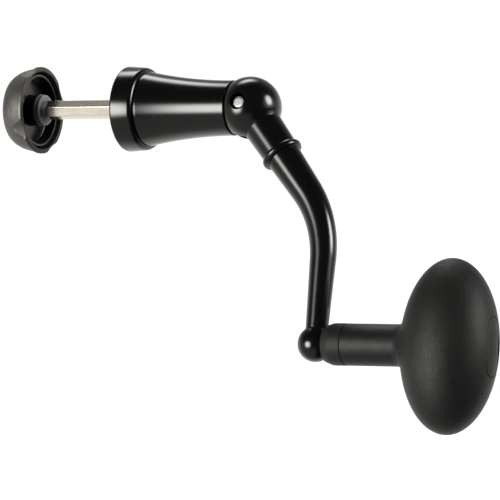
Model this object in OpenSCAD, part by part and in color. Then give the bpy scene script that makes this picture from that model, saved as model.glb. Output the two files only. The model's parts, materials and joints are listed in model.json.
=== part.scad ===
// Folding crank handle for a fishing reel.
// A hexagonal drive shaft with a screw cap, a flared stem, a ball knuckle that folds about a
// cross pin, a bent tapered arm and a free-turning egg-shaped knob.
//
// Frame: the origin is the centre of the flange face that bears on the reel. +X runs along the
// drive axis away from the reel, the arm points along -Y, and +Z is the fold pin's axis.

/* [Drive shaft] */
// Width of the hexagonal shaft across its flats
hex_af = 5; // [4.8:0.1:5.2]
// Turn of the hexagon about the drive axis
hex_roll = 26; // [0:1:59]
// Distance from the reel face to the shaft's inner end
shaft_reach = 33.6; // [33.2:0.1:33.8]
// Thickness of the flat tongue that carries the fold pin
tongue_t = 3.6; // [3.2:0.1:3.8]
// Radius of the eye at the tongue's end
eye_r = 4; // [3.6:0.1:4.2]

/* [Stem] */
// Radius of the flange that bears on the reel
flange_r = 12.75; // [12.4:0.05:13.2]
// Thickness of the flange
flange_t = 7; // [6.5:0.1:7.5]
// Length from the reel face to the stem's mouth
mouth_x = 35.6; // [35.4:0.1:35.8]
// Outer radius at the mouth
mouth_r = 8.15; // [8.1:0.05:8.4]
// Radius of the arc that flares the stem towards the flange
flare_r = 138; // [134:1:156]

/* [Knuckle] */
// Distance from the reel face to the ball's centre
ball_x = 40.7; // [40.6:0.1:40.8]
// Radius of the ball
ball_r = 9.2; // [9.1:0.05:9.25]
// Radius of the fold pin
pin_r = 1.7; // [1.5:0.05:1.8]
// Radius of the round recess around each end of the pin
recess_r = 2.4; // [2.2:0.05:2.8]
// Angle through which the arm folds
fold_angle = 75; // [60:1:75]
// Distance from the ball's centre to the collar bead
collar_s = 18.3; // [18:0.1:19]
// Outer radius of the collar bead
collar_r = 6.35; // [6.2:0.05:6.5]

/* [Arm] */
// Angle of the upper arm away from square to the drive axis
arm_angle = 39.8; // [38:0.2:41]
// Distance of the lower arm beyond the ball's centre, along the drive axis
arm_offset = 27.85; // [27.4:0.05:28.4]
// Distance from the drive axis to the knob's axis
arm_throw = 69.7; // [69:0.1:72]
// Radius of the bend
bend_r = 32; // [31:0.5:34]
// Arm's radius just below the collar
arm_r = 5.15; // [5.05:0.05:5.2]
// Radius of the ball at the arm's lower end
boss_r = 5.25; // [5:0.05:5.3]

/* [Knob] */
// Length of the egg-shaped grip
grip_len = 50.2; // [50:0.2:52]
// Diameter of the egg-shaped grip
grip_d = 28.3; // [28:0.1:28.6]
// Radius of the grip's two ends
grip_end_r = 9.3; // [9:0.1:9.6]
// Distance from the arm's centre to the middle of the grip
grip_u = 42.1; // [41.8:0.1:42.5]
// Angle at which the grip stands about its spindle
grip_turn = 4; // [0:1:359]
// Radius of the grip's neck
neck_r = 6.05; // [6:0.05:6.2]
// Distance from the arm's centre to the seam between collar and neck
seam_u = 10.1; // [9.8:0.1:10.4]
// Length of the oval plate at the knob's outer end
plate_len = 17.3; // [16:0.1:18]
// Width of the oval plate
plate_w = 7.6; // [7:0.1:8.2]

/* [Cap] */
// Distance from the reel face to the cap's open rim
rim_x = 29.6; // [29.5:0.05:29.7]
// Outer radius of the cap
cap_r = 13.05; // [12.9:0.05:13.2]
// Depth of the cap from its rim to its closed back
cap_depth = 8.4; // [8.1:0.1:8.7]
// Number of finger hollows around the cap
hollows = 4; // [3:1:6]
// Turn of the hollows about the drive axis
cap_roll = 39; // [0:1:89]
// Radius of the grey washer inside the cap
washer_r = 4.75; // [4.6:0.05:4.8]

/* [Hidden] */
$fn = 96;

fit = 0.03;                // gap between two pieces fixed to each other
run = 0.05;                // radial gap of a turning or sliding fit
far = 60;                  // longer than any piece, for cuts that run right through

gloss_black = "#101012";
satin_black = "#2b2c2e";
rubber_black = "#26272a";
gunmetal = "#6d6b66";
nickel = "#c9c2b4";
steel = "#b8babd";
nylon_white = "#e4e1d8";
washer_grey = "#8f929c";

// stem
front_round = 0.7;         // rounding of the flange's reel-side corner
back_round = 1.3;          // rounding of the flange's other corner
flange_back_r = flange_r - 0.55;
bush_r = 8;                // counterbore for the guide bush
bush_depth = 5;
hollow_r = 6.4;            // hollow inside the stem, where the clip travels
hollow_end = 28.2;
shaft_bore_r = 3.25;
seat_r = 6.2;              // nylon seat ring behind the ball
seat_x = 31.6;
cup_r = ball_r + 0.1;      // spherical cup at the stem's mouth

// shaft
tongue_x = 31.2;           // where the hexagon ends and the tongue begins
tongue_w = 4.9;
eye_hole_r = pin_r + run;
shim_t = 0.2;
screw_r = 1.5;             // M3 thread of the cap's screw
screw_bore = 13;           // depth of the tapped hole in the shaft
clip_x = 18;               // groove for the retaining clip
clip_t = 0.8;
clip_r = 4.8;

// knuckle
slot_t = tongue_t + 2 * shim_t + 2 * run;
slot_w = tongue_w + 0.6;
slot_eye_r = eye_r + 0.2;
pin_half = 8.1;            // the pin's ends stand just inside their recesses
recess_floor = 7.6;
neck_top_r = 5.95;
neck_end_r = 5.45;
bead_r = 1.15;
neck_end = collar_s + bead_r;
spigot_r = 2.6;
spigot_len = 8;

// arm: straight, one bend, straight
bend_start = (arm_offset - bend_r * (1 - cos(arm_angle))) / sin(arm_angle);
bend_len = bend_r * arm_angle * PI / 180;
bend_end = bend_start + bend_len;
bend_bottom = bend_start * cos(arm_angle) + bend_r * sin(arm_angle);
arm_len = bend_end + arm_throw - bend_bottom;
arm_start = neck_end + fit;
arm_rings = 34;
ball_rings = 14;
arm_sides = 36;
boss_flat = 3.3;           // the lower ball is faced off towards the knob
spindle_r = 2;

// knob, measured along its spindle from the arm's centre
collar_u = 3.8;
shoulder_r = 3.3;
shoulder_end = 4;
thrust_end = 4.5;
core_u = 5.4;
core_r = 4.9;
bush_in_end = 10;
bush_out_u = 37;
bush_out_end = 42;
knob_bush_r = 3.5;
screw_room_r = 4.2;
spindle_end = 42.3;
rubber_t = 1.8;
plate_t = 2.2;
side_r = ((grip_len / 2 - grip_end_r) ^ 2 + (grip_d / 2) ^ 2 - grip_end_r ^ 2)
         / (grip_d - 2 * grip_end_r);
side_in = side_r - grip_d / 2;              // centre of the side arcs, inside the axis
end_y = grip_len / 2 - grip_end_r;          // centre of the end arcs
tangent_y = side_r * end_y / sqrt(side_in ^ 2 + end_y ^ 2);

// cap
back_x = rim_x + cap_depth;
brim_t = 1;
wall_in_r = cap_r - 1.4;    // inside of the wall at the rim
wall_floor_r = cap_r - 2.1; // and at the floor
floor_x = 34.9;
liner_floor_t = 0.9;
ring_r = 10.85;
ring_wall = 0.75;
ring_front = rim_x + 1;
hub_r = 4.6;
washer_front = 28.5;
washer_back = 30.2;
hollow_depth = 0.85;
hollow_r_cut = 12;
dimple_x = -33.4;
dimple_r = 2.4;
screw_head_r = 3.2;

// ---- shared shapes ----

// Cylinder along the drive axis from x0 to x1
module rod(x0, x1, r) translate([x0, 0, 0]) rotate([0, 90, 0]) cylinder(r = r, h = x1 - x0);

// Profile drawn as [radius, x], turned about the drive axis
module turned() rotate([0, 90, 0]) rotate_extrude() children();

// Rectangle in a turned profile
module band(x0, x1, r0, r1) translate([r0, x0]) square([r1 - r0, x1 - x0]);

// Hexagonal bar along the drive axis
module hex_rod(x0, x1, af) translate([x0, 0, 0]) rotate([hex_roll + 90, 0, 0])
    rotate([0, 90, 0]) cylinder(r = af / sqrt(3), h = x1 - x0, $fn = 6);

// Frame with its origin at the ball and +Z along the neck
module at_neck() translate([ball_x, 0, 0]) rotate([90, 0, arm_angle]) children();

// Frame with its origin at the arm's lower end and +X along the knob's spindle
module at_knob() translate([ball_x + arm_offset, -arm_throw, 0]) children();

// Turned ring in the knob's frame
module knob_ring(u0, u1, r0, r1) turned() band(u0, u1, r0, r1);

// ---- stem: the fixed body ----

module stem_profile() {
    // flange with rounded corners
    polygon([[0, front_round], [flange_r, front_round], [flange_back_r, flange_t - back_round],
             [0, flange_t - back_round]]);
    band(0, flange_t, 0, flange_back_r - back_round);
    band(0, flange_t / 2, 0, flange_r - front_round);
    translate([flange_r - front_round, front_round]) circle(front_round);
    translate([flange_back_r - back_round, flange_t - back_round]) circle(back_round);
    // flared body
    difference() {
        band(flange_t - 1, mouth_x, 0, flange_r - 1);
        translate([mouth_r + flare_r, mouth_x]) circle(flare_r, $fn = 720);
    }
}

module stem_body() color(gloss_black) turned() difference() {
    stem_profile();
    band(-1, mouth_x + 1, 0, shaft_bore_r);
    band(-1, bush_depth, 0, bush_r);
    band(bush_depth - 1, hollow_end, 0, hollow_r);
    band(seat_x - fit, mouth_x + 1, 0, seat_r + fit);
    translate([0, ball_x]) circle(cup_r);
    // shadow groove where the body meets the flange
    translate([mouth_r + (mouth_x - flange_t) ^ 2 / (2 * flare_r) + 0.25, flange_t + 0.1])
        circle(0.45);
}

// Guide bush that keeps the stem square to the shaft
module stem_bush() color(satin_black) difference() {
    turned() {
        band(0.3, bush_depth - fit, 0, bush_r - fit);
        band(0.3, bush_depth + 4, 0, hollow_r - 1.5);
    }
    hex_rod(-1, far, hex_af + 2 * run);
}

// Nylon ring that the ball is drawn against
module ball_seat() color(nylon_white) turned() difference() {
    band(seat_x, mouth_x, shaft_bore_r + 0.1, seat_r);
    translate([0, ball_x]) circle(ball_r + run);
}

// ---- drive shaft: slides in the stem ----

module drive_shaft() color(nickel) difference() {
    union() {
        hex_rod(-shaft_reach, tongue_x, hex_af);
        translate([tongue_x - 1, -tongue_w / 2, -tongue_t / 2])
            cube([ball_x - tongue_x + 1, tongue_w, tongue_t]);
        translate([ball_x, 0, -tongue_t / 2]) cylinder(r = eye_r, h = tongue_t);
    }
    translate([ball_x, 0, -far / 2]) cylinder(r = eye_hole_r, h = far);
    rod(-shaft_reach - 1, -shaft_reach + screw_bore, screw_r + run);
    // groove for the clip
    difference() {
        rod(clip_x - fit, clip_x + clip_t + fit, 4);
        rod(clip_x - 1, clip_x + clip_t + 1, 2.2);
    }
}

// Open ring in the shaft's groove, which stops the shaft from leaving the stem
module shaft_clip() color(steel) difference() {
    turned() band(clip_x, clip_x + clip_t, 2.25, clip_r);
    translate([clip_x - 1, -1.9, 0]) cube([3, 3.8, clip_r + 1]);
}

// ---- cap: screws on and off the shaft's inner end ----

module cap_washer() color(washer_grey) difference() {
    turned() difference() {
        union() {
            band(-washer_back, -washer_back + 0.6, 0, washer_r);
            band(-washer_back, -washer_front, 0, washer_r - 0.45);
            band(-washer_front - 0.7, -washer_front - 0.25, 0, washer_r - 0.15);
            translate([washer_r - 0.4, -washer_front - 0.25]) circle(0.25);
        }
        // dished centre
        polygon([[0, -washer_front + 1], [0, -washer_front - 0.45], [3.1, -washer_front - 0.45],
                 [3.7, -washer_front + 0.01], [3.7, -washer_front + 1]]);
    }
    hex_rod(-far, 0, hex_af + 2 * run);
}

module cap_profile() {
    polygon([[0, -back_x], [cap_r - 3.9, -back_x + 0.05], [cap_r - 2.85, -back_x + 0.4],
             [cap_r - 2.1, -back_x + 1.4], [cap_r - 1.3, -back_x + 3], [cap_r - 0.75, -back_x + 5],
             [cap_r - 0.3, -rim_x - brim_t], [0, -rim_x - brim_t]]);
    band(-rim_x - brim_t, -rim_x - 0.3, 0, cap_r);
    band(-rim_x - brim_t, -rim_x, 0, cap_r - 0.3);
    translate([cap_r - 0.3, -rim_x - 0.3]) circle(0.3);
}

// Shallow finger hollows, each with a small round dimple
module cap_hollows() for (i = [0 : hollows - 1]) rotate([cap_roll - i * 360 / hollows, 0, 0]) {
    translate([0, 0, cap_r - hollow_depth + hollow_r_cut]) rod(-back_x - 1, 0, hollow_r_cut);
    translate([dimple_x, 0, cap_r - hollow_depth + dimple_r - 0.3]) sphere(dimple_r);
}

module cap_shell() color(gunmetal) difference() {
    turned() difference() {
        cap_profile();
        polygon([[0, -floor_x], [wall_floor_r, -floor_x], [wall_in_r, -rim_x - 0.6],
                 [wall_in_r, 0], [0, 0]]);
        band(-floor_x - 1.2, 0, 0, screw_head_r + fit);
    }
    cap_hollows();
}

// Moulded lining with an upright ring and a central hub
module cap_liner() color(satin_black) turned() difference() {
    union() {
        band(-floor_x + fit, -ring_front, 0, ring_r);
        band(-floor_x + fit, -washer_back - fit, 0, hub_r);
    }
    difference() {
        band(-floor_x + liner_floor_t, 0, 0, ring_r - ring_wall);
        band(-floor_x, 0, 0, hub_r);
    }
    band(-far, 0, 0, screw_r + fit);
    band(-floor_x + liner_floor_t, 0, 0, hex_af / sqrt(3) + 0.15);
}

module cap_screw() color(steel) turned() {
    band(-floor_x - 1.15, -floor_x, 0, screw_head_r);
    band(-floor_x - 0.5, -shaft_reach + screw_bore - 1, 0, screw_r);
}

// ---- knuckle and arm: fold about the pin ----

// Room for the shaft's tongue, from straight to fully folded
module tongue_slot() translate([ball_x, 0, -slot_t / 2]) linear_extrude(slot_t) {
    circle(slot_eye_r);
    for (a = [180, 180 + fold_angle]) rotate(a) translate([0, -slot_w / 2]) square([12, slot_w]);
    rotate(180) polygon([[0, 0], [12, -slot_w / 2], [12, 0],
                         14 * [cos(fold_angle / 3), sin(fold_angle / 3)],
                         14 * [cos(fold_angle * 2 / 3), sin(fold_angle * 2 / 3)],
                         12 * [cos(fold_angle), sin(fold_angle)]]);
}

module knuckle() color(gloss_black) difference() {
    union() {
        translate([ball_x, 0, 0]) sphere(ball_r);
        at_neck() {
            cylinder(r1 = neck_top_r + 0.1, r2 = neck_end_r - 0.05, h = neck_end);
            translate([0, 0, collar_s]) rotate_extrude() translate([collar_r - bead_r, 0])
                circle(bead_r);
            cylinder(r = spigot_r, h = neck_end + spigot_len);
        }
    }
    tongue_slot();
    translate([ball_x, 0, -far / 2]) cylinder(r = pin_r + 0.01, h = far);
    for (side = [0, 1]) mirror([0, 0, side])
        translate([ball_x, 0, recess_floor]) cylinder(r = recess_r, h = 5);
}

// Cross pin with slightly domed ends
module pivot_pin() color(steel) translate([ball_x, 0, 0]) intersection() {
    translate([0, 0, -pin_half]) cylinder(r = pin_r, h = 2 * pin_half);
    sphere(pin_half + 0.02);
}

module pivot_shims() color(nylon_white) for (side = [0, 1]) mirror([0, 0, side])
    translate([ball_x, 0, tongue_t / 2 + run / 2]) difference() {
        cylinder(r = eye_r - 0.3, h = shim_t);
        translate([0, 0, -1]) cylinder(r = pin_r + run, h = 2);
    }

// Heading of the arm at distance s from the ball, and its centre line
function heading(s) = s < bend_start ? arm_angle
    : s < bend_end ? arm_angle * (bend_end - s) / bend_len : 0;
function centre(s) = s < bend_start ? s * [sin(arm_angle), -cos(arm_angle)]
    : s < bend_end ? [arm_offset - bend_r, -bend_bottom] + bend_r * [cos(heading(s)), sin(heading(s))]
    : [arm_offset, -bend_bottom - (s - bend_end)];
// The arm tapers quickly at first and then more slowly
function arm_radius(s) = arm_r - 0.0443 * (s - arm_start) + 0.00019 * (s - arm_start) ^ 2;

// Stations [distance, radius] down the tapered tube and over the ball at its end
ball_turn = asin(arm_radius(arm_len - 0.8 * boss_r) / boss_r);
tube_end = arm_len - boss_r * cos(ball_turn);
stations = [
    for (k = [0 : arm_rings]) let (s = arm_start + (tube_end - arm_start) * k / arm_rings)
        [s, arm_radius(s)],
    for (k = [1 : ball_rings]) let (t = ball_turn + (176 - ball_turn) * k / ball_rings)
        [arm_len - boss_r * cos(t), boss_r * sin(t)]
];

function arm_ring(s, r) = let (c = centre(s), h = heading(s))
    [for (i = [0 : arm_sides - 1]) let (a = i * 360 / arm_sides)
        [ball_x + c.x + r * cos(a) * cos(h), c.y + r * cos(a) * sin(h), r * sin(a)]];

module arm_tube() {
    last = (len(stations) - 1) * arm_sides;
    points = [for (p = stations) each arm_ring(p[0], p[1])];
    walls = [for (k = [0 : len(stations) - 2], i = [0 : arm_sides - 1])
        let (a = k * arm_sides + i, b = k * arm_sides + (i + 1) % arm_sides)
        each [[a, b, b + arm_sides], [a, b + arm_sides, a + arm_sides]]];
    polyhedron(points, concat([[for (i = [arm_sides - 1 : -1 : 0]) i]], walls,
                              [[for (i = [0 : arm_sides - 1]) last + i]]));
}

module arm() color(gloss_black) difference() {
    arm_tube();
    at_neck() translate([0, 0, neck_end - 1]) cylinder(r = spigot_r + fit, h = spigot_len + 1.2);
    at_knob() {
        rod(boss_flat, 10, 8);
        rod(-10, -boss_flat - 1, 8);
        rod(-10, 10, spindle_r + 0.01);
    }
}

// ---- knob ----

// Steel spindle riveted into the arm, with a shoulder and a tapped outer end
module knob_spindle() color(steel) at_knob() difference() {
    turned() {
        band(-boss_flat - 0.9, spindle_end, 0, spindle_r);
        band(boss_flat + fit, shoulder_end, 0, shoulder_r);
    }
    rod(spindle_end - 8, spindle_end + 1, 1.27);
}

module knob_thrust_washer() color(nylon_white) at_knob()
    knob_ring(shoulder_end + fit, thrust_end, spindle_r + run, shoulder_r);

module knob_collar() color(rubber_black) at_knob() turned() difference() {
    union() {
        band(6.2, seam_u, 0, neck_r + 0.05);
        intersection() {
            band(collar_u, 6.21, 0, neck_r + 0.05);
            translate([neck_r + 0.05 - 3.8, 6.2]) circle(3.8);
        }
        band(collar_u, 6.21, 0, neck_r + 0.05 - 3.8 + 2.95);
    }
    band(0, core_u, 0, shoulder_r + 0.4);
    band(core_u - fit, far, 0, core_r + fit);
}

// Egg shape turned about its long axis, drawn inside the outer surface by inset
module egg(inset) translate([grip_u, 0, 0]) rotate([grip_turn - 90, 0, 0]) rotate_extrude()
    intersection() {
        translate([0, -far]) square([far, 2 * far]);
        union() {
            intersection() {
                translate([-side_in, 0]) circle(side_r - inset, $fn = 240);
                translate([0, -tangent_y]) square([far, 2 * tangent_y]);
            }
            for (y = [-end_y, end_y]) translate([0, y]) circle(grip_end_r - inset);
        }
    }

// Pocket of the oval end plate
module plate_prism(gap) at_plate() for (y = [-1, 1]) {
    half = (plate_len - plate_w) / 2;
    translate([0, y * half, 0]) rotate([0, 90, 0]) cylinder(r = plate_w / 2 + gap, h = 12);
    translate([0, -half, -plate_w / 2 - gap]) cube([12, 2 * half, plate_w + 2 * gap]);
}
module at_plate() rotate([grip_turn, 0, 0])
    translate([grip_u + grip_d / 2 - plate_t - 0.5, 0, 0]) children();

// Concave flare from the neck into the egg
module neck_flare() turned() intersection() {
    difference() {
        band(26, 31, 0, neck_r + 5);
        translate([neck_r + 5, 26]) circle(5);
    }
    band(26, 32, 0, 8);
}

module knob_grip() color(rubber_black) at_knob() difference() {
    union() {
        egg(0);
        rod(seam_u + fit, 31, neck_r);
        neck_flare();
    }
    egg(rubber_t);
    rod(0, grip_u, core_r + fit);
    plate_prism(fit);
}

module knob_core() color(satin_black) at_knob() difference() {
    union() {
        egg(rubber_t + fit);
        rod(core_u, grip_u, core_r);
    }
    rod(0, far, spindle_r + 0.4);
    rod(0, bush_in_end, knob_bush_r + fit);
    rod(bush_out_u, far, knob_bush_r + fit);
    rod(bush_out_end + fit, far, screw_room_r);
    plate_prism(fit);
}

module knob_end_plate() color(satin_black) at_knob() difference() {
    intersection() {
        plate_prism(0);
        egg(0.05);
    }
    rod(0, grip_u + grip_d / 2 - plate_t + 0.1, 2);
}

module knob_bush_inner() color(nylon_white) at_knob()
    knob_ring(thrust_end + fit, bush_in_end - fit, spindle_r + run, knob_bush_r);

module knob_bush_outer() color(nylon_white) at_knob()
    knob_ring(bush_out_u + fit, bush_out_end, spindle_r + run, knob_bush_r);

module knob_washer() color(steel) at_knob()
    knob_ring(spindle_end + fit, spindle_end + 0.5, 1.3, 3.3);

// Retaining screw with a hexagon socket
module knob_screw() color(steel) at_knob() difference() {
    turned() {
        band(spindle_end + 0.5 + fit, spindle_end + 2.6, 0, 2.6);
        band(spindle_end - 7, spindle_end + 1, 0, 1.25);
    }
    rod(spindle_end + 1.4, far, 1.15, $fn = 6);
}

stem_body();
stem_bush();
ball_seat();
drive_shaft();
shaft_clip();
cap_washer();
cap_shell();
cap_liner();
cap_screw();
knuckle();
pivot_pin();
pivot_shims();
arm();
knob_spindle();
knob_washer();
knob_screw();
knob_collar();
knob_core();
knob_grip();
knob_end_plate();
knob_bush_inner();
knob_bush_outer();
knob_thrust_washer();
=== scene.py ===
import json
import math

import bmesh
import bpy
import numpy as np
from mathutils import Matrix, Vector


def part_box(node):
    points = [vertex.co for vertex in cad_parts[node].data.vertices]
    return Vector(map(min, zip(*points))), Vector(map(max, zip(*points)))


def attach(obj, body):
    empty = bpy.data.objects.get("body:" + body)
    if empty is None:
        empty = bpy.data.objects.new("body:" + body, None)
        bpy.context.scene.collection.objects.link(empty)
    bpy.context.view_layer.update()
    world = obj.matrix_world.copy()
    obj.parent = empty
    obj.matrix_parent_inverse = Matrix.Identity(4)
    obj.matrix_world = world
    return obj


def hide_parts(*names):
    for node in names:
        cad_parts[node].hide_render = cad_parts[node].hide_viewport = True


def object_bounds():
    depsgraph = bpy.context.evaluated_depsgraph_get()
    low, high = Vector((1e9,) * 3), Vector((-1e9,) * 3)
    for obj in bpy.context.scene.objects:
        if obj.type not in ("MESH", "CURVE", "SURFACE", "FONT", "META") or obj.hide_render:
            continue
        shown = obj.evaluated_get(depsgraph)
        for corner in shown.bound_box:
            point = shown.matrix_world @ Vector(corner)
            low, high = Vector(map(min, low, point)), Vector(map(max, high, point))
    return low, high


MM = 0.001

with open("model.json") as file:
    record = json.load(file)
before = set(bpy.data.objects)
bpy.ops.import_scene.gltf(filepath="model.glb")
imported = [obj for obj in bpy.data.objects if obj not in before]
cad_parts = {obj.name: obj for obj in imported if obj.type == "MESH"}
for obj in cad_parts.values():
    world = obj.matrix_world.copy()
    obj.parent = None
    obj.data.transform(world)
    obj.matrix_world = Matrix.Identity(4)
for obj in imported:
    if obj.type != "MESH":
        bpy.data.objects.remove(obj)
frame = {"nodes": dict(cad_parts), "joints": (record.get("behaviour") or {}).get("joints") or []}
cad_lo, cad_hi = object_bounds()

# ---------------------------------------------------------------- the frame

joints = {j["name"]: j for j in frame["joints"]}
PIVOT = Vector(joints["arm_fold"]["pos_m"])
KNOB = Vector(joints["knob_spin"]["pos_m"])
stem_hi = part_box("stem_body")[1]
seat_lo, seat_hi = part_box("ball_seat")
cap_lo, cap_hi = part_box("cap_shell")
liner_lo, liner_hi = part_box("cap_liner")
screw_lo, screw_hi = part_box("cap_screw")
pin_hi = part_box("pivot_pin")[1]
knuckle_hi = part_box("knuckle")[1]
spindle_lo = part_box("knob_spindle")[0]
collar_lo, collar_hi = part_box("knob_collar")
plate_lo, plate_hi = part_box("knob_end_plate")

FIT = 0.03 * MM  # gap between two pieces fixed to each other

# stem
FLANGE_R = stem_hi.z
MOUTH_X = stem_hi.x
MOUTH_R = 8.15 * MM
FLANGE_T = 7 * MM
FLANGE_BACK_R = FLANGE_R - 0.55 * MM
FLARE_R = 138 * MM  # the waisted side is this circle, touching the axis' direction at the mouth
SHAFT_BORE_R = 3.25 * MM
BUSH_R = 8 * MM
BUSH_END = 5 * MM
HOLLOW_R = 6.4 * MM
HOLLOW_END = 28.2 * MM
SEAT_R = seat_hi.z

# knuckle
ARM_ANGLE = math.radians(39.8)  # of the upper arm, away from square to the drive axis
BALL_R = knuckle_hi.y - PIVOT.y
CUP_R = BALL_R + 0.1 * MM  # of the stem's cupped mouth
PIN_R = pin_hi.y
RECESS_R = 2.4 * MM
RECESS_Z = 7.6 * MM
COLLAR_S = 18.3 * MM  # distances called s run down the arm from the ball's centre
COLLAR_R = 6.35 * MM
BEAD_R = 1.15 * MM
NECK_TOP_R = 5.95 * MM
NECK_END_R = 5.42 * MM
SPIGOT_R = 2.6 * MM
SPIGOT_LEN = 8 * MM
SLOT_T = 4.1 * MM
SLOT_W = 5.5 * MM
SLOT_EYE_R = 4.2 * MM
FOLD = math.radians(joints["arm_fold"]["range_deg"][1])

# arm
BEND_R = 32 * MM
ARM_R = 5.15 * MM
BOSS_R = 5.25 * MM
BOSS_FLAT = 3.3 * MM
SPINDLE_R = 2 * MM
ARM_TAPER = 0.0443  # loss of radius for each millimetre down the arm
ARM_EASE = 0.00019  # how the taper eases off towards the knob

# knob; distances called u run along the spindle from the arm's centre line
COLLAR_U = collar_lo.x - KNOB.x
SEAM_U = collar_hi.x - KNOB.x
NECK_R = 6.05 * MM
CORE_R = 4.9 * MM
RUBBER_T = 1.8 * MM
GRIP_LEN = 50.2 * MM
GRIP_D = 28.3 * MM
PLATE_SINK = 0.05 * MM  # the end plate lies this deep in the grip
GRIP_U = plate_hi.x + PLATE_SINK - KNOB.x - GRIP_D / 2
GRIP_TURN = math.radians(4)
PLATE_LEN = 17.3 * MM
PLATE_W = 7.6 * MM

# cap
RIM_X = cap_hi.x
BACK_X = cap_lo.x
CAP_R = 13.05 * MM
HOLLOWS = 4
HOLLOW_DEPTH = 0.85 * MM
HOLLOW_CURVE = 12 * MM
CAP_ROLL = math.radians(39)
DIMPLE_X = -33.4 * MM
DIMPLE_R = 1.6 * MM
DIMPLE_DEPTH = 0.14 * MM

# the camera: a long lens, and the direction the object is seen from
LENS = 288
FILM_WIDTH = 36
CAMERA_DISTANCE = 1163.6 * MM
AIM_OFFSET = Vector((1.32 * MM, -1.53 * MM, 0))  # from the middle of the box, in the arm's plane
VIEW_TURN = math.radians(27)  # the drive axis comes this far out of the picture's plane
VIEW_TILT = math.radians(10.5)  # the plane of the arm leans this far
VIEW_ROLL = math.radians(0.36)  # clockwise turn of the camera about its own axis
RIGHT = Vector((math.cos(VIEW_TURN), math.sin(VIEW_TILT) * math.sin(VIEW_TURN),
                -math.cos(VIEW_TILT) * math.sin(VIEW_TURN)))
UP = Vector((0, math.cos(VIEW_TILT), math.sin(VIEW_TILT)))
BACK = RIGHT.cross(UP)
RIGHT, UP = (RIGHT * math.cos(VIEW_ROLL) + UP * math.sin(VIEW_ROLL),
             UP * math.cos(VIEW_ROLL) - RIGHT * math.sin(VIEW_ROLL))


# ---------------------------------------------------------------- shader helpers


class Shader:
    """Short-hand for building one node tree."""

    def __init__(self, tree):
        self.tree = tree
        tree.nodes.clear()

    def put(self, socket, value):
        if isinstance(value, bpy.types.NodeSocket):
            self.tree.links.new(value, socket)
        else:
            socket.default_value = value

    def add(self, kind, inputs=None, **settings):
        node = self.tree.nodes.new(kind)
        for key, value in settings.items():
            setattr(node, key, value)
        for key, value in (inputs or {}).items():
            self.put(node.inputs[key], value)
        return node

    def math(self, operation, a, b=0.0):
        return self.add("ShaderNodeMath", {0: a, 1: b}, operation=operation).outputs[0]

    def product(self, *values):
        out = values[0]
        for value in values[1:]:
            out = self.math("MULTIPLY", out, value)
        return out

    def total(self, *values):
        out = values[0]
        for value in values[1:]:
            out = self.math("ADD", out, value)
        return out

    def step(self, value, start, end, low=0.0, high=1.0):
        """Smooth rise from low to high as value goes from start to end."""
        node = self.add("ShaderNodeMapRange",
                        {"Value": value, "From Min": start, "From Max": end,
                         "To Min": low, "To Max": high},
                        interpolation_type="SMOOTHSTEP")
        return node.outputs[0]

    def dot(self, a, b):
        node = self.add("ShaderNodeVectorMath", {0: a, 1: b}, operation="DOT_PRODUCT")
        return node.outputs["Value"]

    def scaled(self, vector, factors):
        node = self.add("ShaderNodeVectorMath", {0: vector, 1: factors}, operation="MULTIPLY")
        return node.outputs[0]

    def noise(self, vector, scale, detail=2.0, roughness=0.5, distortion=0.0):
        node = self.add("ShaderNodeTexNoise",
                        {"Vector": vector, "Scale": scale, "Detail": detail,
                         "Roughness": roughness, "Distortion": distortion})
        return node.outputs[0]

    def cells(self, vector, scale):
        node = self.add("ShaderNodeTexVoronoi", {"Vector": vector, "Scale": scale}, feature="F1")
        return node.outputs["Distance"]

    def blend(self, factor, a, b):
        node = self.add("ShaderNodeMix", {0: factor}, data_type="RGBA")
        self.put(node.inputs[6], a)
        self.put(node.inputs[7], b)
        return node.outputs[2]

    def bump(self, height, distance, normal=None):
        inputs = {"Height": height, "Distance": distance, "Strength": 1.0}
        node = self.add("ShaderNodeBump", inputs)
        if normal is not None:
            self.put(node.inputs["Normal"], normal)
        return node.outputs[0]


def grey(value, warmth=0.0):
    """A grey, a little warmer or cooler."""
    return (value * (1 + warmth), value, value * (1 - warmth), 1.0)


def surface(name):
    """A new material with its shader tree and the position on the piece in millimetres."""
    material = bpy.data.materials.new(name)
    material.use_nodes = True
    sh = Shader(material.node_tree)
    place = sh.add("ShaderNodeTexCoord").outputs["Object"]
    return material, sh, sh.scaled(place, (1 / MM, 1 / MM, 1 / MM))


def finish_surface(material, sh, **inputs):
    """Principled shader with the given inputs, wired to the output."""
    names = {"base": "Base Color", "metal": "Metallic", "rough": "Roughness", "ior": "IOR",
             "normal": "Normal", "sheen": "Sheen Weight", "sheen_rough": "Sheen Roughness"}
    shader = sh.add("ShaderNodeBsdfPrincipled", {names[k]: v for k, v in inputs.items()})
    out = sh.add("ShaderNodeOutputMaterial")
    sh.tree.links.new(shader.outputs[0], out.inputs["Surface"])
    return material


def soft_edges(sh, radius):
    """Normal that rounds a piece's sharp edges by the given radius."""
    return sh.add("ShaderNodeBevel", {"Radius": radius}, samples=6).outputs[0]


# ---------------------------------------------------------------- materials


def gloss_black():
    """Black lacquer over metal: clear reflections, a slight ripple, hairlines and dust."""
    material, sh, mm = surface("gloss_black_lacquer")
    ripple = sh.noise(mm, 0.35, 2.0, 0.4)
    hair = sh.noise(sh.scaled(mm, (0.25, 5.0, 5.0)), 1.6, 3.0, 0.6)
    hairline = sh.step(hair, 0.62, 0.70)
    speck = sh.step(sh.cells(mm, 0.9), 0.07, 0.02)
    rough = sh.total(0.15, sh.product(ripple, 0.03), sh.product(hairline, 0.05),
                     sh.product(speck, 0.2))
    base = sh.blend(speck, grey(0.0035), grey(0.03, 0.05))
    normal = sh.bump(ripple, 0.006 * MM, normal=soft_edges(sh, 0.12 * MM))
    return finish_surface(material, sh, base=base, rough=rough, ior=1.5, normal=normal)


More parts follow.
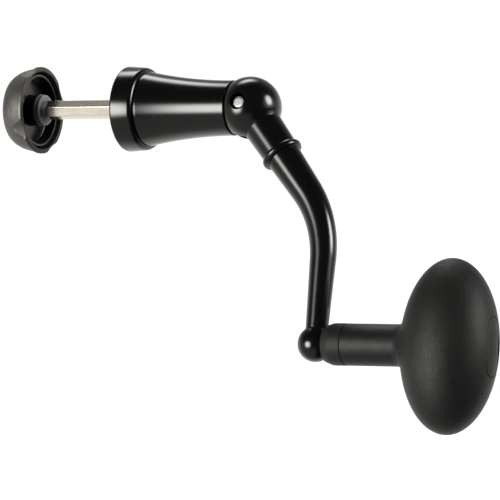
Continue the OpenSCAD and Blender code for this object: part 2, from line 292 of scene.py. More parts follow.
def gunmetal():
    """Dark bright-plated cap: soft mirror, cloudy and handled, with painted shade darkening the
    front rim.
    """
    material, sh, mm = surface("gunmetal_plating")
    cloud = sh.noise(mm, 0.22, 3.0, 0.6)
    wipe = sh.noise(sh.scaled(mm, (1.2, 0.2, 0.2)), 1.4, 4.0, 0.6)
    base = sh.blend(sh.step(cloud, 0.3, 0.7), grey(0.095, 0.04), grey(0.135, 0.06))
    along = sh.add("ShaderNodeSeparateXYZ", {0: mm}).outputs["X"]
    # painted shade: over the last half millimetre to the rim, the base colour turns near black to
    # stand for a darker reflection on the rim face
    rim = sh.step(along, RIM_X / MM - 0.5, RIM_X / MM - 0.1, 0.0, 0.6)
    base = sh.blend(rim, base, grey(0.03))
    rough = sh.total(0.42, sh.product(cloud, 0.08), sh.product(wipe, 0.08))
    normal = sh.bump(cloud, 0.02 * MM, normal=soft_edges(sh, 0.15 * MM))
    return finish_surface(material, sh, base=base, metal=0.85, rough=rough, normal=normal)


def drawn_nickel():
    """Plated hexagonal bar with the streaks of drawing along it."""
    material, sh, mm = surface("drawn_nickel")
    streak = sh.noise(sh.scaled(mm, (0.10, 6.0, 6.0)), 1.0, 3.0, 0.55)
    stain = sh.noise(mm, 0.5, 3.0, 0.6)
    base = sh.blend(sh.step(streak, 0.3, 0.7), (0.56, 0.515, 0.45, 1), (0.66, 0.61, 0.535, 1))
    base = sh.blend(sh.step(stain, 0.55, 0.8, 0.0, 0.25), base, (0.44, 0.38, 0.30, 1))
    rough = sh.total(0.155, sh.product(streak, 0.05), sh.product(stain, 0.05))
    normal = sh.bump(streak, 0.0012 * MM, normal=soft_edges(sh, 0.16 * MM))
    return finish_surface(material, sh, base=base, metal=1.0, rough=rough, normal=normal)


def turned_steel(name, tone, rough_low):
    """Steel with a fine mottle from turning and plating."""
    material, sh, mm = surface(name)
    ring = sh.noise(mm, 2.2, 4.0, 0.6)
    base = sh.blend(sh.step(ring, 0.35, 0.65), grey(tone * 0.72, 0.01), grey(tone, 0.02))
    rough = sh.total(rough_low, sh.product(ring, 0.16))
    normal = sh.bump(ring, 0.02 * MM, normal=soft_edges(sh, 0.12 * MM))
    return finish_surface(material, sh, base=base, metal=1.0, rough=rough, normal=normal)


def washer_plastic():
    """Slate-coloured moulded washer with a waxy face."""
    material, sh, mm = surface("slate_washer")
    cloud = sh.noise(mm, 0.9, 3.0, 0.6)
    base = sh.blend(cloud, (0.12, 0.127, 0.145, 1), (0.27, 0.28, 0.31, 1))
    rough = sh.total(0.30, sh.product(cloud, 0.2))
    normal = sh.bump(cloud, 0.05 * MM, normal=soft_edges(sh, 0.15 * MM))
    return finish_surface(material, sh, base=base, rough=rough, ior=1.5, normal=normal)


def black_plastic():
    """Moulded black lining, half gloss."""
    material, sh, mm = surface("moulded_black")
    grain = sh.noise(mm, 3.0, 3.0, 0.6)
    flow = sh.noise(mm, 0.4, 2.0, 0.5)
    base = sh.blend(flow, grey(0.004), grey(0.009))
    rough = sh.total(0.16, sh.product(grain, 0.10), sh.product(flow, 0.08))
    normal = sh.bump(flow, 0.02 * MM, normal=soft_edges(sh, 0.12 * MM))
    return finish_surface(material, sh, base=base, rough=rough, ior=1.5, normal=normal)


def nylon():
    """Milky bearing plastic."""
    material, sh, mm = surface("milky_nylon")
    cloud = sh.noise(mm, 1.1, 3.0, 0.5)
    base = sh.blend(cloud, (0.66, 0.64, 0.58, 1), (0.78, 0.76, 0.70, 1))
    rough = sh.total(0.38, sh.product(cloud, 0.15))
    normal = sh.bump(cloud, 0.03 * MM, normal=soft_edges(sh, 0.1 * MM))
    return finish_surface(material, sh, base=base, rough=rough, normal=normal)


def rubber(name, tone, rough_low, sheen):
    """Soft-touch black rubber: fine grain, cloudy handling marks, lint."""
    material, sh, mm = surface(name)
    grain = sh.noise(mm, 7.0, 2.0, 0.6)
    pores = sh.cells(mm, 3.2)
    wave = sh.noise(mm, 0.28, 3.0, 0.55)
    handled = sh.noise(mm, 0.09, 3.0, 0.6)
    lint = sh.step(sh.cells(mm, 0.55), 0.05, 0.02)
    base = sh.blend(sh.step(handled, 0.35, 0.7), grey(tone), grey(tone * 1.35, 0.02))
    base = sh.blend(sh.product(lint, 0.5), base, grey(0.2, 0.03))
    rough = sh.total(rough_low, sh.product(grain, 0.10), sh.product(wave, 0.08),
                     sh.product(handled, 0.06))
    crease = sh.noise(sh.scaled(mm, (1.0, 0.35, 1.0)), 1.5, 3.0, 0.6, 1.2)
    creased = sh.product(crease, sh.step(sh.noise(mm, 0.07, 2.0, 0.5), 0.48, 0.62))
    fine = sh.bump(grain, 0.018 * MM, normal=sh.bump(creased, 0.12 * MM))
    pitted = sh.bump(pores, 0.012 * MM, normal=fine)
    normal = sh.bump(wave, 0.10 * MM, normal=pitted)
    return finish_surface(material, sh, base=base, rough=rough, ior=1.36, sheen=sheen,
                          sheen_rough=0.5, normal=normal)


LACQUER = gloss_black()
GUNMETAL = gunmetal()
NICKEL = drawn_nickel()
STEEL = turned_steel("turned_steel", 0.70, 0.24)
PIN_STEEL = turned_steel("pin_steel", 0.33, 0.42)
WASHER = washer_plastic()
PLASTIC = black_plastic()
NYLON = nylon()
GRIP_RUBBER = rubber("grip_rubber", 0.005, 0.40, 0.02)
COLLAR_RUBBER = rubber("collar_rubber", 0.008, 0.45, 0.03)
PLATE_PLASTIC = rubber("plate_rubber", 0.004, 0.40, 0.02)


# ---------------------------------------------------------------- mesh helpers


CREASE = 32  # degrees; a sharper turn than this is shaded as an edge


def smooth_shade(mesh, crease):
    mesh.shade_smooth()
    mesh.set_sharp_from_angle(angle=math.radians(crease))


def build(name, verts, faces, crease=CREASE):
    """A linked object with clean, outward-facing, smoothly shaded faces."""
    mesh = bpy.data.meshes.new(name)
    mesh.from_pydata([tuple(v) for v in verts], [], faces)
    work = bmesh.new()
    work.from_mesh(mesh)
    bmesh.ops.remove_doubles(work, verts=work.verts, dist=1e-7)
    bmesh.ops.recalc_face_normals(work, faces=work.faces)
    work.to_mesh(mesh)
    work.free()
    smooth_shade(mesh, crease)
    obj = bpy.data.objects.new(name, mesh)
    bpy.context.scene.collection.objects.link(obj)
    return obj


def cut(obj, cutters):
    """Takes the cutters out of the object and deletes them."""
    for cutter in cutters:
        modifier = obj.modifiers.new("cut", "BOOLEAN")
        modifier.operation = "DIFFERENCE"
        modifier.solver = "EXACT"
        modifier.object = cutter
    bpy.context.view_layer.update()
    graph = bpy.context.evaluated_depsgraph_get()
    mesh = bpy.data.meshes.new_from_object(obj.evaluated_get(graph))
    obj.modifiers.clear()
    old = obj.data
    obj.data = mesh
    bpy.data.meshes.remove(old)
    for cutter in cutters:
        data = cutter.data
        bpy.data.objects.remove(cutter)
        bpy.data.meshes.remove(data)
    smooth_shade(mesh, CREASE)
    return obj


def wear(obj, material, body, *nodes):
    """Gives a piece its material and body, and hides the CAD nodes it takes the place of."""
    obj.data.materials.clear()
    obj.data.materials.append(material)
    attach(obj, body)
    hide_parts(*nodes)
    return obj


def rounded(corners, steps=6):
    """Outline through (x, r, fillet) corners, each rounded by its fillet."""
    out = []
    count = len(corners)
    for i, (x, r, fillet) in enumerate(corners):
        here = np.array((x, r))
        before = np.array(corners[i - 1][:2]) - here
        after = np.array(corners[(i + 1) % count][:2]) - here
        if fillet <= 0:
            out.append(tuple(here))
            continue
        a = before / np.linalg.norm(before)
        b = after / np.linalg.norm(after)
        half = math.acos(max(-1, min(1, float(a @ b)))) / 2
        reach = fillet / math.tan(half)
        centre = here + (a + b) / np.linalg.norm(a + b) * fillet / math.sin(half)
        first, last = here + a * reach - centre, here + b * reach - centre
        sweep = math.acos(max(-1, min(1, float(first @ last) / fillet**2)))
        for k in range(steps + 1):
            t = k / steps
            mixed = (first * math.sin((1 - t) * sweep) + last * math.sin(t * sweep))
            out.append(tuple(centre + mixed / math.sin(sweep)))
    return out


def arc(cx, cr, radius, start, end, steps):
    """Points of an arc in the (x, r) plane, angles in degrees from +x towards +r."""
    angles = np.radians(np.linspace(start, end, steps + 1))
    return [(cx + radius * math.cos(t), cr + radius * math.sin(t)) for t in angles]


def about_x(origin):
    """Places a turned piece with its axis along +X through origin."""
    return Matrix.Translation(origin)


def along_neck():
    """Places a turned piece with its axis down the neck from the ball's centre."""
    axis = Vector((math.sin(ARM_ANGLE), -math.cos(ARM_ANGLE), 0))
    side = Vector((math.cos(ARM_ANGLE), math.sin(ARM_ANGLE), 0))
    turn = Matrix((axis, side, axis.cross(side))).transposed().to_4x4()
    return Matrix.Translation(PIVOT) @ turn


def along_pin():
    """Places a turned piece with its axis along the fold pin."""
    turn = Matrix(((0, 1, 0), (0, 0, 1), (1, 0, 0))).to_4x4()
    return Matrix.Translation(PIVOT) @ turn


def lathe(name, outline, place, steps, crease=CREASE, shape=None):
    """Closed outline of (x, r) points turned about the placed x axis.

    shape(x, r, angle) may change r.
    """
    verts, rings = [], []
    for x, r in outline:
        if r < 1e-7:
            rings.append([len(verts)])
            verts.append(place @ Vector((x, 0, 0)))
            continue
        ring = []
        for k in range(steps):
            t = 2 * math.pi * k / steps
            radius = shape(x, r, t) if shape else r
            ring.append(len(verts))
            verts.append(place @ Vector((x, radius * math.cos(t), radius * math.sin(t))))
        rings.append(ring)
    faces = []
    for i, ring in enumerate(rings):
        other = rings[(i + 1) % len(rings)]
        if len(ring) == 1 and len(other) == 1:
            continue
        for k in range(steps):
            n = (k + 1) % steps
            if len(ring) == 1:
                faces.append((ring[0], other[n], other[k]))
            elif len(other) == 1:
                faces.append((ring[k], ring[n], other[0]))
            else:
                faces.append((ring[k], ring[n], other[n], other[k]))
    return build(name, verts, faces, crease)


def stack(name, rings):
    """Surface through a list of equal rings of points, with a face over each end."""
    steps = len(rings[0])
    verts = [p for ring in rings for p in ring]
    faces = []
    for i in range(len(rings) - 1):
        a, b = i * steps, (i + 1) * steps
        for k in range(steps):
            n = (k + 1) % steps
            faces.append((a + k, a + n, b + n, b + k))
    faces.append(tuple(range(steps - 1, -1, -1)))
    faces.append(tuple(range((len(rings) - 1) * steps, len(rings) * steps)))
    return build(name, verts, faces)


def rod(name, place, start, end, radius):
    """Plain cylinder along the placed x axis, for cutting."""
    return lathe(name, [(start, 0), (start, radius), (end, radius), (end, 0)], place, 96)


def prism(name, outline, low, high):
    """Flat outline in the plane of the arm, from z = low to z = high."""
    rings = [[Vector((x, y, z)) for x, y in outline] for z in (low, high)]
    return stack(name, rings)


# ---------------------------------------------------------------- stem


def stem():
    """Flared stem with its flange, groove, cupped mouth and hollow inside."""
    body = [(x, MOUTH_R + (MOUTH_X - x) ** 2 / (2 * FLARE_R))
            for x in np.linspace(FLANGE_T + 0.62 * MM, MOUTH_X - 0.25 * MM, 60)]
    waist = body[0][1]
    groove_r = waist - 0.35 * MM
    groove_end = FLANGE_T + 0.45 * MM
    flange = rounded([
        (0, FLANGE_R - 2 * MM, 0), (0, FLANGE_R, 0.75 * MM),
        (FLANGE_T, FLANGE_BACK_R, 1.3 * MM), (FLANGE_T, groove_r, 0.12 * MM),
        (groove_end, groove_r, 0.12 * MM), (groove_end + 0.05 * MM, waist, 0)], 8)
    inner_lip = math.sqrt(CUP_R**2 - (PIVOT.x - MOUTH_X) ** 2)
    lip = rounded([
        (MOUTH_X - 0.3 * MM, MOUTH_R, 0), (MOUTH_X, MOUTH_R, 0.22 * MM),
        (MOUTH_X, MOUTH_R - 0.8 * MM, 0)], 6)[1:]
    mouth = [p for p in lip if p[1] > inner_lip + 0.05 * MM]
    cup = [(PIVOT.x - math.sqrt(CUP_R**2 - r * r), r)
           for r in np.linspace(inner_lip, SEAT_R + FIT, 10)]
    inside = [
        (seat_lo.x - FIT, SEAT_R + FIT), (seat_lo.x - FIT, SHAFT_BORE_R),
        (HOLLOW_END, SHAFT_BORE_R), (HOLLOW_END, HOLLOW_R), (BUSH_END, HOLLOW_R),
        (BUSH_END, BUSH_R), (0, BUSH_R)]
    outline = flange + body + mouth + cup + inside
    return lathe("stem_shell", outline, about_x(Vector()), 192)


# ---------------------------------------------------------------- knuckle


def knuckle():
    """Ball, neck and collar bead in one turned piece, slotted for the shaft's tongue."""
    fillet = 0.5 * MM  # the neck starts this far outside the ball
    start = math.degrees(math.asin(NECK_TOP_R / BALL_R))
    short = 3.5  # degrees left out of the ball's outline, for the fillet
    ball = arc(0, 0, BALL_R, 180, start + short, 72)
    ball[0] = (-BALL_R, 0)
    root_x = BALL_R * math.cos(math.radians(start)) + fillet
    neck = [(x, NECK_TOP_R + (NECK_END_R - NECK_TOP_R) * x / COLLAR_S)
            for x in np.linspace(root_x, COLLAR_S - BEAD_R - 0.1 * MM, 12)]
    bead = arc(COLLAR_S, COLLAR_R - BEAD_R, BEAD_R, 172, 0, 18)
    shoulder = COLLAR_S + BEAD_R
    spigot = rounded([
        (shoulder, COLLAR_R - BEAD_R - 0.3 * MM, 0), (shoulder, SPIGOT_R, 0),
        (shoulder + SPIGOT_LEN, SPIGOT_R, 0.3 * MM), (shoulder + SPIGOT_LEN, 0, 0)], 4)
    piece = lathe("knuckle_shell", ball + neck + bead + spigot, along_neck(), 192)
    pin = along_pin()
    cutters = [rod("cut_pin", pin, -2 * BALL_R, 2 * BALL_R, PIN_R + 0.01 * MM)]
    for side in (-1, 1):
        ends = sorted((side * RECESS_Z, side * 1.5 * BALL_R))
        cutters.append(rod("cut_recess", pin, *ends, RECESS_R))
    cutters.append(tongue_slot())
    return cut(piece, cutters)


def tongue_slot():
    """Room for the tongue from straight to fully folded, as a prism about the pin."""
    half = SLOT_W / 2
    near = math.sqrt(SLOT_EYE_R**2 - half**2)
    far = 2 * BALL_R

    def side(angle, sign, distance):
        return (distance * math.cos(angle) - sign * half * math.sin(angle),
                distance * math.sin(angle) + sign * half * math.cos(angle))

    low, high = math.pi, math.pi + FOLD
    lean = math.asin(half / SLOT_EYE_R)
    eye = [(SLOT_EYE_R * math.cos(t), SLOT_EYE_R * math.sin(t))
           for t in np.linspace(high + lean, low - lean + 2 * math.pi, 48)]
    outline = [side(low, -1, far), side((low + high) / 2, 0, 1.6 * far), side(high, 1, far)]
    outline += [side(high, 1, near)] + eye[1:-1] + [side(low, -1, near)]
    outline = [(PIVOT.x + x, PIVOT.y + y) for x, y in outline]
    return prism("cut_slot", outline, -SLOT_T / 2, SLOT_T / 2)


def pin():
    """Cross pin with rounded ends."""
    end = pin_hi.z
    half = rounded([
        (0, PIN_R, 0), (end - 0.10 * MM, PIN_R, 0.16 * MM), (end, 1.0 * MM, 0.8 * MM),
        (end, 0.0, 0)], 6)
    other = [(-x, r) for x, r in reversed(half)]
    return lathe("fold_pin", other[:-1] + half[1:], along_pin(), 72)


# ---------------------------------------------------------------- arm


def arm_line():
    """Centre line of the arm: point and heading at a distance from the ball."""
    offset = KNOB.x - PIVOT.x
    throw = PIVOT.y - KNOB.y
    start = (offset - BEND_R * (1 - math.cos(ARM_ANGLE))) / math.sin(ARM_ANGLE)
    length = BEND_R * ARM_ANGLE
    bottom = start * math.cos(ARM_ANGLE) + BEND_R * math.sin(ARM_ANGLE)

    def at(s):
        if s < start:
            turn = ARM_ANGLE
            x, y = s * math.sin(ARM_ANGLE), -s * math.cos(ARM_ANGLE)
        elif s < start + length:
            turn = ARM_ANGLE * (start + length - s) / length
            x, y = offset - BEND_R + BEND_R * math.cos(turn), -bottom + BEND_R * math.sin(turn)
        else:
            turn = 0.0
            x, y = offset, -bottom - (s - start - length)
        return Vector((PIVOT.x + x, PIVOT.y + y, 0)), turn

    return at, start + length + throw - bottom


def smooth_max(a, b, k):
    """Larger of two lengths, blended over k."""
    h = np.maximum(k - np.abs(a - b), 0) / k
    return np.maximum(a, b) + h * h * k / 4


def arm():
    """Bent tapered tube ending in a ball that is faced off towards the knob."""
    at, length = arm_line()
    first = COLLAR_S + BEAD_R + FIT

    def tube(s):
        run = (s - first) / MM
        return ARM_R - ARM_TAPER * MM * run + ARM_EASE * MM * run * run

    low = length - BOSS_R * 1.25
    stations = list(np.linspace(first, low, 150))
    stations += [length - BOSS_R * math.cos(t) for t in np.linspace(0.42, math.pi, 60)]
    stations = sorted(s for s in stations if s > first - 1e-9)
    rings = []
    sides = 96
    for s in stations:
        gap = min(abs(s - length), BOSS_R)
        globe = math.sqrt(max(BOSS_R**2 - gap**2, 0))
        r = globe if s > length else float(smooth_max(tube(s), globe, 0.35 * MM))
        point, turn = at(s)
        out = Vector((math.cos(turn), math.sin(turn), 0))
        r = max(r, 0.02 * MM)
        rings.append([point + out * (r * math.cos(t)) + Vector((0, 0, r * math.sin(t)))
                      for t in np.linspace(0, 2 * math.pi, sides, endpoint=False)])
    piece = stack("arm_shell", rings)
    knob = about_x(KNOB)
    return cut(piece, [
        rod("cut_face", knob, BOSS_FLAT, 4 * BOSS_R, 2 * BOSS_R),
        rod("cut_back", knob, -4 * BOSS_R, spindle_lo.x - KNOB.x - 0.1 * MM, 2 * BOSS_R),
        rod("cut_bore", knob, -4 * BOSS_R, 4 * BOSS_R, SPINDLE_R + 0.01 * MM),
        rod("cut_spigot", along_neck(), first - 1 * MM, first + SPIGOT_LEN + 0.2 * MM,
            SPIGOT_R + FIT)])


# ---------------------------------------------------------------- knob


def egg_curve(inset):
    """Radius of the egg at a distance along its long axis, drawn inside its surface by inset."""
    along, wide = GRIP_LEN / 2 - inset, GRIP_D / 2 - inset

    def radius(t):
        return wide * np.sqrt(np.maximum(1 - (t / along) ** 2, 0))

    return radius


def egg_section(radius, x, angles):
    """Distance from the spindle to the egg's surface in the plane x from its middle."""
    low = np.zeros_like(angles)
    high = np.full_like(angles, GRIP_LEN / 2)
    for _ in range(44):
        middle = (low + high) / 2
        along, across = middle * np.cos(angles), middle * np.sin(angles)
        inside = x * x + across**2 < radius(along) ** 2
        low = np.where(inside, middle, low)
        high = np.where(inside, high, middle)
    return low


def grip_rings():
    """Rings of the rubber skin: neck, flare and egg outside, then back along the inside."""
    sides = 192
    angles = np.linspace(0, 2 * math.pi, sides, endpoint=False)
    outer, inner = egg_curve(0.0), egg_curve(RUBBER_T)
    flare_u, flare_r = 26 * MM, 5.0 * MM
    half = GRIP_D / 2
    switch = 0.55  # of the half width: rings go by equal steps up to here, then by equal angles

    def ring(u, reach):
        turned = angles + GRIP_TURN
        return [KNOB + Vector((u, r * math.cos(t), r * math.sin(t)))
                for r, t in zip(reach, turned)]

    def neck(u):
        into = min(max(u - flare_u, 0), flare_r * 0.8)
        return NECK_R + flare_r - math.sqrt(flare_r**2 - into**2)

    start = SEAM_U + FIT
    lip = [(start, NECK_R - 0.22 * MM), (start + 0.06 * MM, NECK_R - 0.09 * MM),
           (start + 0.2 * MM, NECK_R)]
    rings = [ring(u, np.full(sides, r)) for u, r in lip]
    rings += [ring(u, np.full(sides, NECK_R)) for u in np.linspace(start + 0.6 * MM, flare_u, 12)]
    for u in np.linspace(flare_u + 0.1 * MM, GRIP_U - switch * half, 60):
        section = egg_section(outer, u - GRIP_U, angles)
        rings.append(ring(u, smooth_max(section, neck(u), 1.6 * MM)))
    for t in np.linspace(math.acos(0.01 - switch), 0.012, 110):
        x = half * math.cos(t)
        rings.append(ring(GRIP_U + x, egg_section(outer, x, angles)))
    hollow = half - RUBBER_T
    for t in np.linspace(0.02, math.acos(-0.93), 70):
        x = hollow * math.cos(t)
        least = CORE_R + FIT if x < 0 else 0
        rings.append(ring(GRIP_U + x, np.maximum(egg_section(inner, x, angles), least)))
    rings += [ring(u, np.full(sides, CORE_R + FIT)) for u in (GRIP_U - hollow, start)]
    return rings


def grip():
    """Rubber skin of the knob. Outside and inside are each closed at the egg's far side."""
    rings = grip_rings()
    sides = len(rings[0])
    tip = max(range(len(rings)), key=lambda i: rings[i][0].x)
    verts = [p for ring in rings for p in ring]
    faces = []
    for i in range(len(rings)):
        if i == tip:
            continue
        j = (i + 1) % len(rings)
        for k in range(sides):
            n = (k + 1) % sides
            faces.append((i * sides + k, i * sides + n, j * sides + n, j * sides + k))
    faces.append(tuple(tip * sides + k for k in range(sides)))
    faces.append(tuple((tip + 1) * sides + k for k in reversed(range(sides))))
    piece = build("grip_skin", verts, faces)
    return cut(piece, [plate_block("cut_plate", 0.10 * MM)])


def stadium(scale, grow):
    """Oval outline of the end plate, as (along, across) offsets from its middle."""
    count = 96
    r = PLATE_W / 2 + grow
    half = (PLATE_LEN - PLATE_W) / 2
    out = []
    for k in range(count):
        t = 2 * math.pi * (k + 0.5) / count
        along = r * math.cos(t) + (half if math.cos(t) > 0 else -half)
        out.append((along * scale, r * math.sin(t) * scale))
    return out


def plate_point(u, along, across):
    """A point given along and across the end plate, at a distance u along the spindle."""
    c, s = math.cos(GRIP_TURN), math.sin(GRIP_TURN)
    return KNOB + Vector((u, along * c - across * s, along * s + across * c))


def plate_block(name, gap):
    """Block that cuts the end plate's pocket, reaching well outside the grip."""
    low = plate_lo.x - KNOB.x
    high = low + 12 * MM
    rings = [[plate_point(u, a, b) for a, b in stadium(1, gap)] for u in (low, high)]
    return stack(name, rings)


def end_plate():
    """Oval plate that follows the egg's surface, with a rounded rim."""
    radius = egg_curve(0.0)
    low = plate_lo.x - KNOB.x
    rim = 0.32 * MM
    sunk = 0.03 * MM

    def ring(scale, grow, drop):
        points = []
        for along, across in stadium(scale, grow):
            top = GRIP_U + math.sqrt(max(float(radius(along)) ** 2 - across**2, 0))
            points.append(plate_point(top - drop, along, across))
        return points

    rings = [[plate_point(low, a, b) for a, b in stadium(1, 0)]]
    for t in np.linspace(0, math.pi / 2, 7):
        grow = -rim * (1 - math.cos(t))
        rings.append(ring(1, grow, sunk + rim * (1 - math.sin(t))))
    for scale in np.linspace(0.93, 0.05, 16):
        rings.append(ring(scale, -rim, sunk))
    piece = stack("end_plate", rings)
    return cut(piece, [rod("cut_screw_room", about_x(KNOB), 0, low + 0.1 * MM, 2 * MM)])


def collar():
    """Rounded rubber collar between the arm's end ball and the grip."""
    outer = NECK_R + 0.05 * MM
    face_r = outer - 0.85 * MM
    shoulder_u, core_u = 6.2 * MM, 5.37 * MM
    bore = SPINDLE_R + 1.7 * MM
    outline = rounded([
        (COLLAR_U, bore, 0), (COLLAR_U, face_r, 0.25 * MM), (shoulder_u, outer, 3.0 * MM),
        (SEAM_U, outer, 0.16 * MM), (SEAM_U, CORE_R + FIT, 0), (core_u, CORE_R + FIT, 0),
        (core_u, bore, 0)], 8)
    return lathe("knob_collar_skin", outline, about_x(KNOB), 144)


# ---------------------------------------------------------------- cap


def cap_hollow(x, r, angle):
    """Radius of the cap's outer wall with its finger hollows and dimples."""
    middle = CAP_R - HOLLOW_DEPTH + HOLLOW_CURVE
    pitch = 2 * math.pi / HOLLOWS
    # angle runs from +Y to +Z, the hollows are counted from +Z towards +Y
    off = (angle - (math.pi / 2 + CAP_ROLL) + pitch / 2) % pitch - pitch / 2
    inside = HOLLOW_CURVE**2 - (middle * math.sin(off)) ** 2
    if inside <= 0:
        return r
    hollow = middle * math.cos(off) - math.sqrt(inside)
    dimple = math.hypot(x - DIMPLE_X, hollow * off)
    hollow -= DIMPLE_DEPTH * max(0.0, 1 - (dimple / DIMPLE_R) ** 2) ** 2
    return min(r, hollow)


def cap():
    """Screw cap: brim, finger hollows, rounded back, and the room for the lining and screw."""
    wall_r, floor_r = CAP_R - 1.4 * MM, CAP_R - 2.1 * MM
    floor_x = liner_lo.x - FIT
    wall_x = RIM_X - 0.6 * MM
    screw_r = screw_hi.z + FIT
    outline = rounded([
        (BACK_X, 0, 0), (BACK_X + 0.05 * MM, CAP_R - 3.9 * MM, 1.2 * MM),
        (BACK_X + 0.4 * MM, CAP_R - 2.85 * MM, 0.9 * MM),
        (BACK_X + 1.4 * MM, CAP_R - 2.1 * MM, 1.5 * MM),
        (BACK_X + 3 * MM, CAP_R - 1.3 * MM, 3 * MM), (BACK_X + 5 * MM, CAP_R - 0.75 * MM, 5 * MM),
        (RIM_X - 1.02 * MM, CAP_R - 0.3 * MM, 0.08 * MM), (RIM_X - 1 * MM, CAP_R, 0.1 * MM),
        (RIM_X, CAP_R, 0.32 * MM), (RIM_X, wall_r, 0.2 * MM), (wall_x, wall_r, 0),
        (floor_x, floor_r, 0), (floor_x, screw_r, 0), (screw_lo.x, screw_r, 0),
        (screw_lo.x, 0, 0)], 6)

    def inside_r(x):
        return float(np.interp(x, (floor_x, wall_x), (floor_r, wall_r)))

    def outer_wall(x, r):
        # true outside the cap, where the hollows are
        return r > max(CAP_R - 2.4 * MM, inside_r(x) + 0.15 * MM)

    fine = []
    for a, b in zip(outline, outline[1:] + outline[:1]):
        fine.append(a)
        count = int((b[0] - a[0]) / (0.12 * MM))
        if outer_wall(*a) and outer_wall(*b) and count > 1:
            fine += [(a[0] + (b[0] - a[0]) * t, a[1] + (b[1] - a[1]) * t)
                     for t in np.linspace(0, 1, count + 1)[1:-1]]

    def shape(x, r, angle):
        return cap_hollow(x, r, angle) if outer_wall(x, r) else r

    return lathe("cap_shell_skin", fine, about_x(Vector()), 720, 24, shape)


def liner():
    """Moulded lining: floor, upright ring and hub."""
    ring_r, ring_wall = 10.85 * MM, 0.75 * MM
    hub_r = 4.6 * MM
    front = liner_lo.x + 0.87 * MM
    ring_x = RIM_X - 1 * MM
    hub_x = liner_hi.x
    bore = 1.53 * MM
    hex_r = 3.04 * MM
    outline = rounded([
        (liner_lo.x, bore, 0), (liner_lo.x, ring_r, 0), (ring_x, ring_r, 0.16 * MM),
        (ring_x, ring_r - ring_wall, 0.16 * MM), (front, ring_r - ring_wall, 0.4 * MM),
        (front, hub_r, 0.3 * MM), (hub_x, hub_r, 0.2 * MM), (hub_x, hex_r, 0),
        (front, hex_r, 0), (front, bore, 0)], 5)
    return lathe("cap_lining", outline, about_x(Vector()), 192)


# ---------------------------------------------------------------- put together

wear(stem(), LACQUER, "stem", "stem_body")
wear(knuckle(), LACQUER, "arm", "knuckle")
wear(pin(), PIN_STEEL, "arm", "pivot_pin")
wear(arm(), LACQUER, "arm", "arm")
wear(grip(), GRIP_RUBBER, "knob", "knob_grip")
wear(end_plate(), PLATE_PLASTIC, "knob", "knob_end_plate")
wear(collar(), COLLAR_RUBBER, "knob", "knob_collar")
wear(cap(), GUNMETAL, "cap", "cap_shell")
wear(liner(), PLASTIC, "cap", "cap_liner")

KEPT = {
    "drive_shaft": NICKEL, "shaft_clip": STEEL, "stem_bush": PLASTIC, "ball_seat": NYLON,
    "cap_washer": WASHER, "cap_screw": STEEL, "pivot_shims": NYLON, "knob_spindle": STEEL,
    "knob_thrust_washer": NYLON, "knob_washer": STEEL, "knob_screw": STEEL,
    "knob_core": PLASTIC, "knob_bush_inner": NYLON, "knob_bush_outer": NYLON,
}
for node, material in KEPT.items():
    obj = frame["nodes"][node]
    obj.data.materials.clear()
    obj.data.materials.append(material)


# ---------------------------------------------------------------- studio


ROUND = 2.6  # 2 makes a softbox an ellipse, more makes it squarer


def direction(azimuth, elevation):
    """World direction from angles about the camera: azimuth from behind it towards its right."""
    a, e = math.radians(azimuth), math.radians(elevation)
    return (RIGHT * math.sin(a) + BACK * math.cos(a)) * math.cos(e) + UP * math.sin(e)


def softbox(sh, ray, azimuth, elevation, half_w, half_h, soft, strength):
    """Soft-edged light panel with round corners, far away. Angles and half sizes in degrees."""
    a = math.radians(azimuth)
    middle = direction(azimuth, elevation)
    across = RIGHT * math.cos(a) - BACK * math.sin(a)
    upward = middle.cross(across)
    if upward.dot(UP) < 0:
        upward.negate()
    w, h = (math.sin(math.radians(v)) for v in (half_w, half_h))
    u = sh.math("POWER", sh.math("ABSOLUTE", sh.dot(ray, across / w)), ROUND)
    v = sh.math("POWER", sh.math("ABSOLUTE", sh.dot(ray, upward / h)), ROUND)
    reach = sh.math("POWER", sh.total(u, v), 1 / ROUND)
    ahead = sh.step(sh.dot(ray, middle), 0.0, 0.2)
    return sh.product(sh.step(reach, 1 + soft, 1 - soft), ahead, strength)


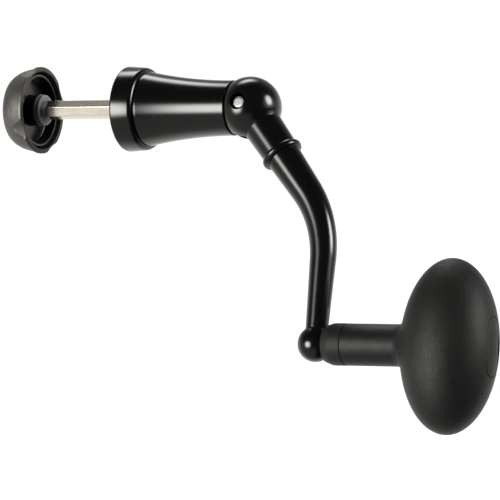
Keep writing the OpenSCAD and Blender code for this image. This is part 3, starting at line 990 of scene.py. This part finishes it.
def studio_light():
    """Dark room with a white sweep behind and below the object, and the softboxes.

    side, height and depth run from -1 to 1: to the camera's right, up, and towards it.
    """
    world = bpy.data.worlds.new("studio")
    bpy.context.scene.world = world
    world.use_nodes = True
    sh = Shader(world.node_tree)
    ray = sh.add("ShaderNodeTexCoord").outputs["Generated"]
    side, height, depth = (sh.dot(ray, axis) for axis in (RIGHT, UP, BACK))
    sweep = sh.product(sh.step(depth, 0.05, -0.62), sh.step(height, 0.0, 0.55, 1.0, 0.22))
    glow = sh.product(sh.step(depth, -0.45, -0.75), 0.15)
    table = sh.product(sh.step(height, -0.25, -0.60), sh.step(side, 0.20, -0.15), 0.42)
    room = sh.math("MAXIMUM", sweep, table)
    key = softbox(sh, ray, azimuth=-53, elevation=-2, half_w=15, half_h=14, soft=0.5, strength=17)
    spot = softbox(sh, ray, azimuth=75, elevation=22, half_w=11, half_h=12.5, soft=0.35,
                   strength=15.5)
    tail = softbox(sh, ray, azimuth=76, elevation=13, half_w=20, half_h=11, soft=0.6,
                   strength=1.9)
    top = softbox(sh, ray, azimuth=-166, elevation=61, half_w=13, half_h=8, soft=0.7,
                  strength=7.5)
    wall = sh.product(sh.step(side, -0.45, -0.85), sh.step(height, 0.30, -0.05), 0.45)
    light = sh.total(sh.math("MAXIMUM", room, wall), glow, key, spot, tail, top, 0.02)
    seen = sh.add("ShaderNodeLightPath").outputs["Is Camera Ray"]
    lit = sh.add("ShaderNodeBackground", {"Color": (1, 0.985, 0.955, 1), "Strength": light})
    white = sh.add("ShaderNodeBackground", {"Color": (1, 1, 1, 1), "Strength": 1.0})
    mix = sh.add("ShaderNodeMixShader", {0: seen, 1: lit.outputs[0], 2: white.outputs[0]})
    out = sh.add("ShaderNodeOutputWorld")
    sh.tree.links.new(mix.outputs[0], out.inputs["Surface"])


def floor():
    """Pale floor, low enough for the egg to turn above it. It throws nothing back."""
    half = 6.0
    level = cad_lo.z - (GRIP_LEN - GRIP_D) / 2
    mesh = bpy.data.meshes.new("floor")
    corners = [(-half, -half, level), (half, -half, level), (half, half, level),
               (-half, half, level)]
    mesh.from_pydata(corners, [], [(0, 1, 2, 3)])
    obj = bpy.data.objects.new("floor", mesh)
    bpy.context.scene.collection.objects.link(obj)
    material = bpy.data.materials.new("pale_floor")
    material.use_nodes = True
    sh = Shader(material.node_tree)
    paint = sh.add("ShaderNodeBsdfDiffuse", {"Color": grey(0.10)})
    glow = sh.add("ShaderNodeEmission", {"Color": (1, 1, 1, 1), "Strength": 0.99})
    both = sh.add("ShaderNodeAddShader", {0: paint.outputs[0], 1: glow.outputs[0]})
    out = sh.add("ShaderNodeOutputMaterial")
    sh.tree.links.new(both.outputs[0], out.inputs["Surface"])
    mesh.materials.append(material)
    obj.visible_glossy = False
    obj.visible_diffuse = False
    obj.visible_shadow = False


def camera():
    """Camera on the object, upright in its own view."""
    data = bpy.data.cameras.new("camera")
    data.sensor_width = FILM_WIDTH
    data.lens = LENS
    obj = bpy.data.objects.new("camera", data)
    bpy.context.scene.collection.objects.link(obj)
    middle = (cad_lo + cad_hi) / 2
    aim = Vector((middle.x, middle.y, 0)) + AIM_OFFSET
    place = aim + BACK * CAMERA_DISTANCE
    turn = Matrix((RIGHT, UP, BACK)).transposed().to_4x4()
    obj.matrix_world = Matrix.Translation(place) @ turn
    data.clip_start, data.clip_end = 0.01, 50
    bpy.context.scene.camera = obj


studio_light()
floor()
camera()
bpy.context.scene.view_settings.view_transform = "Standard"
bpy.context.scene.view_settings.look = "None"
